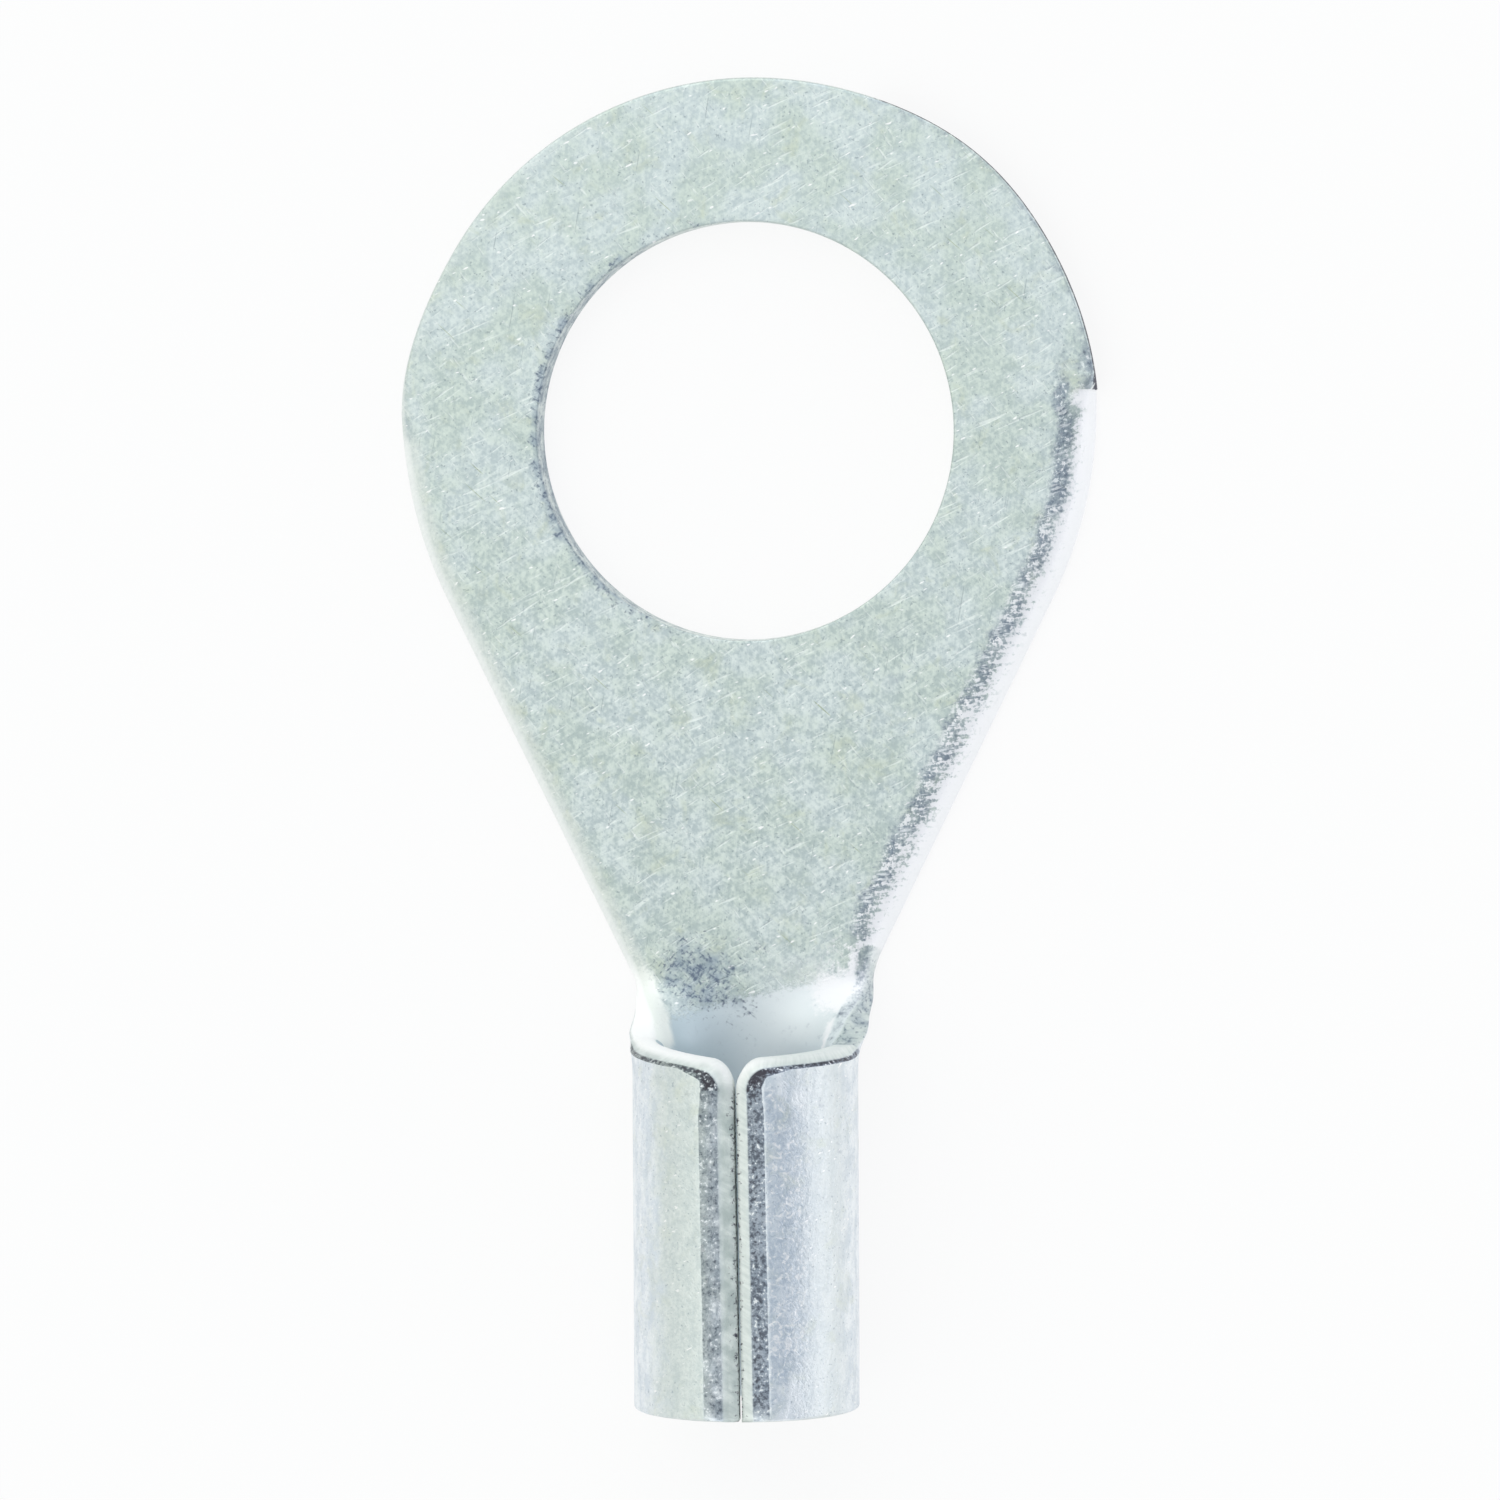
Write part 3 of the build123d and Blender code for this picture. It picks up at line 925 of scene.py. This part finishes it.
# %% The barrel's outside: paler and bluer, in soft blotches drawn out along it
soft_spots = add(tree, NOISE, {"Vector": in_mm, "Scale": 3.2, "Detail": 3.0, "Distortion": 0.5})
blotches = add(tree, MATH, {0: soft_spots, 1: strokes(88, 0.5, 0.12, 5.0)}, **PLUS)
blotches = add(tree, MATH, {0: blotches, 1: crystals}, **PLUS)
blotched = add(tree, RANGE, {0: blotches, 1: 1.15, 2: 1.85}, **SMOOTH)
outer_tin = add(tree, MIX, {0: blotched, 6: colour("#d9e2e9"), 7: colour("#f3f8fb")}, **COLOURS)

# %% A greenish stripe along the barrel's left, with a wandering border
wander = add(tree, MATH, {0: soft_spots, 1: 0.8, 2: far_x}, **TIMES_PLUS)
green_start = add(tree, RANGE, {0: wander, 1: -1.25, 2: -0.75}, **SMOOTH)
green_end = add(tree, RANGE, {0: far_x, 1: -0.40, 2: -0.62, 4: 0.62}, **SMOOTH)
greenish = add(tree, MATH, {0: green_start, 1: green_end}, **TIMES)
green_tin = add(tree, MIX, {0: light_grain, 6: colour("#c6d0cb"), 7: colour("#d8e0da")}, **COLOURS)
outer_tin = add(tree, MIX, {0: greenish, 6: outer_tin, 7: green_tin}, **COLOURS)

# %% Blue wisps beside the seam, painted shade on the right flank, and the tongue's marks and painted glints again
curls = add(tree, NOISE, {"Vector": in_mm, "Scale": 9.0, "Detail": 2.0, "Distortion": 1.2})
curl_line = add(tree, RANGE, {0: curls, 1: 0.54, 2: 0.68, 4: 0.75}, **SMOOTH)
curl_line = add(tree, MATH, {0: curl_line, 1: press["wisped"]}, **TIMES)
blue_band = add(tree, RANGE, {0: curls, 1: 0.50, 2: 0.36, 3: 0.40, 4: 0.80}, **SMOOTH)
blue_band = add(tree, MATH, {0: blue_band, 1: press["wisped"]}, **TIMES)
flank_start = add(tree, RANGE, {0: far_x, 1: 0.70, 2: 1.25, 4: 0.68}, **SMOOTH)
flank_end = add(tree, RANGE, {0: far_x, 1: 1.78, 2: 1.50}, **SMOOTH)
right_flank_shade = add(tree, MATH, {0: flank_start, 1: flank_end}, **TIMES)
for share, shade in (
    (blue_band, "#b9c6d3"),
    (curl_line, "#ffffff"),
    # Painted shade on the right flank.
    (right_flank_shade, "#d6dddd"),
    (stained, "#d3dacb"),
    (marks["dark_specks"], "#93a1ac"),
    # Painted glints: white flecks.
    (marks["glint_flecks"], "#ffffff"),
):
    outer_tin = add(tree, MIX, {0: share, 6: outer_tin, 7: colour(shade)}, **COLOURS)
tin = add(tree, MIX, {0: press["outside"], 6: tin, 7: outer_tin}, **COLOURS)

# %% [markdown]
# Along the shoulders the press dragged the coat into short hairs across the edge. Two numbers
# at each point place this pattern: how far along the edge it is and how far in from it. The
# hairs slant a little, and there are about twelve of them to a millimetre. Pepper and mottle
# are finer and broader spots. All three are centred on nought, so that they push a border
# both ways.

# %% Hairs across the edge
hair_scale = (12.0, 2.6, 1.0)
slanted = add(tree, MATH, {0: press["inset"], 1: -0.6, 2: press["run"]}, **TIMES_PLUS)
edge_place = add(tree, "ShaderNodeCombineXYZ", {0: slanted, 1: press["inset"]})
edge_place = add(tree, "ShaderNodeVectorMath", {0: edge_place, 1: hair_scale}, **TIMES)
hairs = add(tree, NOISE, {"Vector": edge_place, "Scale": 1.0, "Detail": 2.0, "Roughness": 0.6})
pepper = add(tree, NOISE, {"Vector": in_mm, "Scale": 14.0, "Detail": 2.0, "Roughness": 0.65})
mottle = add(tree, NOISE, {"Vector": in_mm, "Scale": 4.0, "Detail": 2.0})
hair_shift, pepper_shift, mottle_shift = [
    add(tree, MATH, {0: pattern, 1: 0.5}, **MINUS) for pattern in (hairs, pepper, mottle)
]
hair_part = add(tree, MATH, {0: hair_shift, 1: press["frayed"]}, **TIMES)
both_shift = add(tree, MATH, {0: pepper_shift, 1: 1.5, 2: hair_part}, **TIMES_PLUS)
fray_gain = add(tree, MATH, {0: press["frayed"], 1: 0.35, 2: 1.0}, **TIMES_PLUS)
both_shift = add(tree, MATH, {0: both_shift, 1: fray_gain}, **TIMES)

# %% Painted highlights, with hairs at their border
frayed = add(tree, MATH, {0: press["frayed"], 1: -1.15, 2: -0.25}, **TIMES_PLUS)
highlight_at = add(tree, MATH, {0: both_shift, 1: frayed, 2: press["painted_highlight"]}, **TIMES_PLUS)
highlight_share = add(tree, RANGE, {0: highlight_at, 1: 0.05, 2: 0.85}, **SMOOTH)
any_highlight = add(tree, RANGE, {0: press["painted_highlight"], 1: 0.0, 2: 0.15})
highlight_share = add(tree, MATH, {0: highlight_share, 1: any_highlight}, **TIMES)
highlight_colour = add(tree, MIX, {0: across_trough, 6: colour("#f3f7f3"), 7: colour("#fdfdff")}, **COLOURS)

# %% Painted shade over dragged metal on the shoulders: a soft dark tone first
shade_drag_level = add(tree, MATH, {0: press["shade_and_drag"], 1: 1.25}, operation="MINIMUM")
more_shoulder_shade = add(tree, MATH, {0: press["frayed"], 1: 0.30, 2: 1.0}, **TIMES_PLUS)
shade_drag_level = add(tree, MATH, {0: shade_drag_level, 1: more_shoulder_shade}, **TIMES)
shoulder_shade_at = add(tree, MATH, {0: mottle_shift, 1: 1.4, 2: shade_drag_level}, **TIMES_PLUS)
shoulder_shade_at = add(tree, MATH, {0: both_shift, 1: 0.65, 2: shoulder_shade_at}, **TIMES_PLUS)
shoulder_shade_share = add(tree, RANGE, {0: shoulder_shade_at, 1: 0.15, 2: 1.1, 4: 0.75}, **SMOOTH)
shoulder_shade = add(tree, MIX, {0: across_trough, 6: colour("#7f8a88"), 7: colour("#778498")}, **COLOURS)

# %% Dark pits in the painted shade, fewer among the hairs, and the deepest painted shadow where the shade is strongest
pit_at = add(tree, MATH, {0: mottle_shift, 1: 2.2, 2: press["shade_and_drag"]}, **TIMES_PLUS)
pit_at = add(tree, MATH, {0: both_shift, 1: 3.0, 2: pit_at}, **TIMES_PLUS)
pit_share = add(tree, RANGE, {0: pit_at, 1: 1.05, 2: 2.1, 4: 0.72}, **SMOOTH)
pit_place = add(tree, RANGE, {0: press["shade_and_drag"], 1: 0.10, 2: 0.42}, **SMOOTH)
pit_share = add(tree, MATH, {0: pit_share, 1: pit_place}, **TIMES)
few = add(tree, MATH, {0: press["frayed"], 1: -0.58, 2: 1.0}, **TIMES_PLUS)
pit_share = add(tree, MATH, {0: pit_share, 1: few}, **TIMES)
deep_shade_at = add(tree, MATH, {0: both_shift, 1: 0.9, 2: press["shade_and_drag"]}, **TIMES_PLUS)
deep_shade_share = add(tree, RANGE, {0: deep_shade_at, 1: 1.40, 2: 1.90, 4: 0.75}, **SMOOTH)

# %% Painted glints: bright grains and bright hairs on the shaded shoulders, then every coat over the tin in this order
glint_grains = add(tree, RANGE, {0: both_shift, 1: -0.13, 2: -0.27, 4: 0.75}, **SMOOTH)
glint_place = add(tree, RANGE, {0: shade_drag_level, 1: 0.3, 2: 0.8}, **SMOOTH)
glint_share = add(tree, MATH, {0: glint_grains, 1: glint_place}, **TIMES)
glinting_hairs = add(tree, RANGE, {0: hairs, 1: 0.56, 2: 0.66, 4: 0.7}, **SMOOTH)
glinting_hairs = add(tree, MATH, {0: glinting_hairs, 1: press["frayed"]}, **TIMES)
glinting_hairs = add(tree, MATH, {0: glinting_hairs, 1: glint_place}, use_clamp=True, **TIMES)
for share, coat in (
    # Painted shade over the shoulders, with its pits and its deepest shadow.
    (shoulder_shade_share, shoulder_shade),
    (pit_share, colour("#454c59")),
    (deep_shade_share, colour("#3a3237")),
    # Painted glints: bright grains and hairs.
    (glint_share, colour("#f4f8fa")),
    (glinting_hairs, colour("#f4f8fa")),
    # Painted highlights.
    (highlight_share, highlight_colour),
):
    tin = add(tree, MIX, {0: share, 6: tin, 7: coat}, **COLOURS)

# %% Scuffed where the tool rubbed, and painted shade on the hole's left wall: a faint blue bloom under fine dark pits
bloom_at = add(tree, MATH, {0: mottle, 1: 1.8, 2: press["scuff_and_wall_shade"]}, **TIMES_PLUS)
bloom = add(tree, RANGE, {0: bloom_at, 1: 1.15, 2: 2.2, 4: 0.75}, **SMOOTH)
any_bloom = add(tree, RANGE, {0: press["scuff_and_wall_shade"], 1: 0.0, 2: 0.3})
bloom = add(tree, MATH, {0: bloom, 1: any_bloom}, **TIMES)
fibres = strokes(-35, 0.13, 0.04, 71.0)
fibres = add(tree, MATH, {0: fibres, 1: strokes(50, 0.11, 0.04, 83.0)}, **LARGER)
fibres = add(tree, MATH, {0: fibres, 1: 0.56}, **MINUS)
scuff_grain = add(tree, MATH, {0: fibres, 1: pepper_shift}, **PLUS)
scuff_at = add(tree, MATH, {0: scuff_grain, 1: 4.0, 2: bloom_at}, **TIMES_PLUS)
scuff_share = add(tree, RANGE, {0: scuff_at, 1: 1.45, 2: 2.9, 4: 0.80}, **SMOOTH)
any_scuff = add(tree, RANGE, {0: press["scuff_and_wall_shade"], 1: 0.03, 2: 0.20})
scuff_share = add(tree, MATH, {0: scuff_share, 1: any_scuff}, **TIMES)
for share, shade in ((bloom, "#93a2b2"), (scuff_share, "#56637a")):
    tin = add(tree, MIX, {0: share, 6: tin, 7: colour(shade)}, **COLOURS)

# %% The cut faces: streaked, greyer in patches on the left wing, scuffed, with painted highlights, and with painted shade on the hole's left wall and on dark edges
streaks = add(tree, RANGE, {0: hairs, 1: 0.35, 2: 0.65})
cut_face = add(tree, MIX, {0: streaks, 6: colour("#cfd8d5"), 7: colour("#e3eae6")}, **COLOURS)
left_wing = add(tree, RANGE, {0: far_x, 1: -0.02, 2: -0.10})
left_mottle = add(tree, RANGE, {0: mottle, 1: 0.38, 2: 0.62, 3: 0.10, 4: 0.90})
left_wing = add(tree, MATH, {0: left_wing, 1: left_mottle}, **TIMES)
left_wing = add(tree, MATH, {0: left_wing, 1: press["outside"]}, **TIMES)
dark_edge_at = add(tree, MATH, {0: pepper_shift, 1: 2.4, 2: press["dark_edge_shade"]}, **TIMES_PLUS)
dark_edge_share = add(tree, RANGE, {0: dark_edge_at, 1: 0.35, 2: 0.80}, **SMOOTH)
any_dark_edge = add(tree, RANGE, {0: press["dark_edge_shade"], 1: 0.0, 2: 0.15})
dark_edge_share = add(tree, MATH, {0: dark_edge_share, 1: any_dark_edge}, **TIMES)
for share, shade in (
    (left_wing, "#b4c0bd"),
    # Painted highlight on the cut faces.
    (press["painted_highlight"], "#ffffff"),
    (bloom, "#94a4b0"),
    (scuff_share, "#71808f"),
    # Painted shade: dark edges.
    (dark_edge_share, "#4c4c58"),
):
    cut_face = add(tree, MIX, {0: share, 6: cut_face, 7: colour(shade)}, **COLOURS)
tin = add(tree, MIX, {0: press["cut"], 6: tin, 7: cut_face}, **COLOURS)

# %% The plating's shine: cut and polished faces are smoother, and painted highlights more like white paint
smooth_share = add(tree, MATH, {0: press["cut"], 1: polished}, **LARGER)
gloss = add(tree, RANGE, {0: grain, 1: 0.40, 2: 0.60, 3: 0.42, 4: 0.34})
gloss = add(tree, MATH, {0: smooth_share, 1: 0.12, 2: gloss}, **TIMES_PLUS)
metal = add(tree, MATH, {0: smooth_share, 1: -0.50, 2: 1.0}, **TIMES_PLUS)
metal = add(tree, MATH, {0: press["painted_highlight"], 1: -0.75, 2: metal}, use_clamp=True, **TIMES_PLUS)

# %% Its relief, in hundredths of a millimetre
grain_share = add(tree, MATH, {0: 1.0, 1: smooth_share}, use_clamp=True, **MINUS)
relief = add(tree, MATH, {0: crystals, 1: brushed}, **PLUS)
relief = add(tree, MATH, {0: relief, 1: marks["scratches"]}, **MINUS)
relief = add(tree, MATH, {0: relief, 1: grain_share}, **TIMES)
relief = add(tree, MATH, {0: blotches, 1: press["outside"], 2: relief}, **TIMES_PLUS)
shoulder_relief = add(tree, MATH, {0: both_shift, 1: shoulder_shade_share}, **TIMES)
relief = add(tree, MATH, {0: shoulder_relief, 1: 2.0, 2: relief}, **TIMES_PLUS)
bump = add(tree, "ShaderNodeBump", {"Strength": 0.7, "Distance": 0.010 * MM, "Height": relief})
coat = {"Base Color": tin, "Roughness": gloss, "Metallic": metal, "Normal": bump}
shader = add(tree, "ShaderNodeBsdfPrincipled", coat)
add(tree, "ShaderNodeOutputMaterial", {0: shader})
print("nodes in the plating:", len(tree.nodes))

# %% [markdown]
# ## Roll it and keep the result
#
# The modifier's inputs are set by the identifiers that the tree gave them. The evaluated
# result becomes a plain mesh, and the modifier goes, so that the finished piece carries
# only its own points.

# %% Apply the roll
rolling = terminal.modifiers.new("roll", "NODES")
rolling.node_group = roll
for identifier, value in roll_inputs.values():
    rolling[identifier] = plate if value is None else value
bpy.context.view_layer.update()
evaluated = terminal.evaluated_get(bpy.context.evaluated_depsgraph_get())
rolled_mesh = bpy.data.meshes.new_from_object(evaluated)
rolled_mesh.name = "rolled_terminal"
terminal.modifiers.clear()
terminal.data = rolled_mesh
rolled_mesh.calc_loop_triangles()
print("materials:", [m.name for m in rolled_mesh.materials])
print("triangles:", len(rolled_mesh.loop_triangles))

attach(terminal, "root")
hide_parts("terminal")

# %% [markdown]
# ## The floor
#
# The picture has a plain white ground. The floor is white paper just under the metal. What
# the camera and the metal see of it is mostly its own white, and the rest is what the lamps
# give it, so it stays white but keeps a soft shadow.

# %% Floor
floor_mesh = bpy.data.meshes.new("floor")
reach, drop = 0.6, -0.02 * MM
floor_corners = [(-reach, -reach), (reach, -reach), (reach, reach), (-reach, reach)]
floor_mesh.from_pydata([(*c, drop) for c in floor_corners], [], [(0, 1, 2, 3)])
floor = bpy.data.objects.new("floor", floor_mesh)
scene.collection.objects.link(floor)
paper = bpy.data.materials.new("white_paper")
paper.use_nodes = True
ground = paper.node_tree
ground.nodes.clear()
lit = add(ground, "ShaderNodeBsdfDiffuse", {"Color": colour("#f6f6f6")})
own_white = add(ground, "ShaderNodeEmission", {"Color": (1, 1, 1, 1), "Strength": 1.0})
rays = add(ground, "ShaderNodeLightPath").node.outputs
seen = add(ground, MATH, {0: rays["Is Camera Ray"], 1: rays["Is Glossy Ray"]}, **LARGER)
seen = add(ground, MATH, {0: seen, 1: rays["Is Transmission Ray"]}, **LARGER)
seen = add(ground, MATH, {0: seen, 1: 0.85}, **TIMES)
paper_face = add(ground, "ShaderNodeMixShader", {0: seen, 1: lit, 2: own_white})
add(ground, "ShaderNodeOutputMaterial", {0: paper_face})
floor_mesh.materials.append(paper)

# %% [markdown]
# ## The light
#
# Plated metal shows its surroundings, so the room matters more than the lamps. The part lies
# in a bright tent, with one soft panel overhead. The tent is a little green on the left and
# a little blue on the right. It is brightest beyond the ring, which the wings' front edges
# face, and low on the right, which the bright right edge faces. A grey strip runs through it
# above the right side, and the slopes that face it turn darker: the shoulder of the right
# edge and the barrel beside its seam. The panel's energy comes from how bright its face is
# to look like, 1 being white.

# %% The panel
panel_at, panel_aim = Vector((-0.16, 0.06, 0.45)), Vector((0.0, -0.005, 0.0))
panel_width, panel_height, panel_brightness = 0.50, 0.60, 0.22
panel_data = bpy.data.lights.new("overhead_panel", "AREA")
panel_data.shape = "RECTANGLE"
panel_data.size, panel_data.size_y = panel_width, panel_height
panel_data.energy = panel_brightness * pi * panel_width * panel_height
panel = bpy.data.objects.new("overhead_panel", panel_data)
panel.location = panel_at
panel.rotation_euler = (panel_aim - panel_at).to_track_quat("-Z", "Y").to_euler()
scene.collection.objects.link(panel)
print("panel in watts:", round(panel_data.energy, 4))

# %% World
world = bpy.data.worlds.new("tent")
scene.world = world
world.use_nodes = True
sky = world.node_tree
sky.nodes.clear()
direction = add(sky, "ShaderNodeTexCoord", out="Generated")
east, north, up = add(sky, "ShaderNodeSeparateXYZ", {0: direction}).node.outputs
to_right = add(sky, RANGE, {0: east, 1: -0.4, 2: 0.6}, **SMOOTH)
tent = add(sky, MIX, {0: to_right, 6: colour("#f3f6f3"), 7: colour("#fafaff")}, **COLOURS)
strip_start = add(sky, RANGE, {0: east, 1: 0.14, 2: 0.34}, **SMOOTH)
strip_end = add(sky, RANGE, {0: east, 1: 0.92, 2: 0.72}, **SMOOTH)
above = add(sky, RANGE, {0: up, 1: 0.15, 2: 0.45}, **SMOOTH)
strip = add(sky, MATH, {0: strip_start, 1: strip_end}, **TIMES)
strip = add(sky, MATH, {0: strip, 1: above}, **TIMES)
tent = add(sky, MIX, {0: strip, 6: tent, 7: colour("#c2c8cf")}, **COLOURS)
far_end = add(sky, RANGE, {0: north, 1: 0.30, 2: 0.75, 3: 1.0, 4: 1.5}, **SMOOTH)
right_end = add(sky, RANGE, {0: east, 1: 0.75, 2: 0.93}, **SMOOTH)
low = add(sky, RANGE, {0: up, 1: 0.36, 2: 0.14}, **SMOOTH)
right_end = add(sky, MATH, {0: right_end, 1: low}, **TIMES)
right_end = add(sky, MATH, {0: right_end, 1: 0.75, 2: 1.0}, **TIMES_PLUS)
strength = add(sky, MATH, {0: far_end, 1: right_end}, **LARGER)
tent_light = add(sky, "ShaderNodeBackground", {"Color": tent, "Strength": strength})
add(sky, "ShaderNodeOutputWorld", {0: tent_light})
scene.view_settings.view_transform = "Standard"
